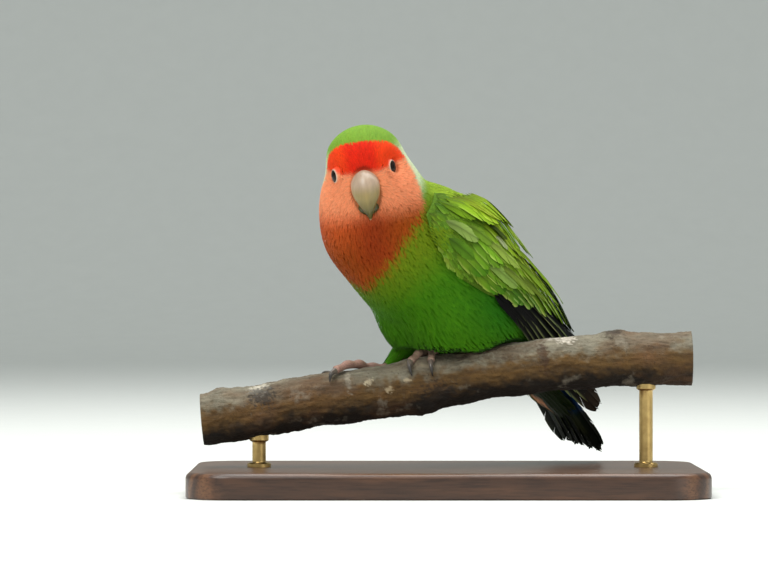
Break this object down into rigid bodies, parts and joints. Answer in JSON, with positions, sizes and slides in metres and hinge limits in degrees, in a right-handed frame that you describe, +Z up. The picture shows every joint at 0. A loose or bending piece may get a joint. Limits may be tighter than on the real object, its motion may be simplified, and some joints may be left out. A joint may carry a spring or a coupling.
{
  "type": "perched lovebird display model",
  "caption": "Life-size still model of a rosy-faced lovebird gripping a short cut branch, held by slim rods over a flat oblong base.",
  "frame": {"origin": "middle of the stand base's flat underside", "axes": "+Z up, +X along the branch towards the bird's tail side, +Y away from the viewer of the picture, so the bird's face looks along -Y"},
  "size_m": [0.18, 0.114, 0.1292],
  "materials": {
    "plumage_peach": "soft feather",
    "plumage_green": "soft feather",
    "plumage_wing": "firm vaned feather",
    "plumage_tail": "firm vaned feather",
    "bill_horn": "polished horn",
    "claw_horn": "horn",
    "eye_gloss": "wet gloss",
    "foot_skin": "scaled skin",
    "bark": "rough bark",
    "stand_wood": "satin stained",
    "stand_metal": "satin"
  },
  "bodies": {
    "root": {"head": "plumage_peach", "neck": "plumage_peach", "torso": "plumage_green", "wing_left": "plumage_wing", "wing_right": "plumage_wing", "tail": "plumage_tail", "bill_upper": "bill_horn", "bill_lower": "bill_horn", "eye_left": "eye_gloss", "eye_right": "eye_gloss", "leg_left": "foot_skin", "leg_right": "foot_skin", "claw_left_toe_1": "claw_horn", "claw_left_toe_2": "claw_horn", "claw_left_toe_3": "claw_horn", "claw_left_toe_4": "claw_horn", "claw_right_toe_1": "claw_horn", "claw_right_toe_2": "claw_horn", "claw_right_toe_3": "claw_horn", "claw_right_toe_4": "claw_horn", "perch": "bark", "stand_base": "stand_wood", "stand_rod_left": "stand_metal", "stand_rod_right": "stand_metal"}
  },
  "joints": []
}
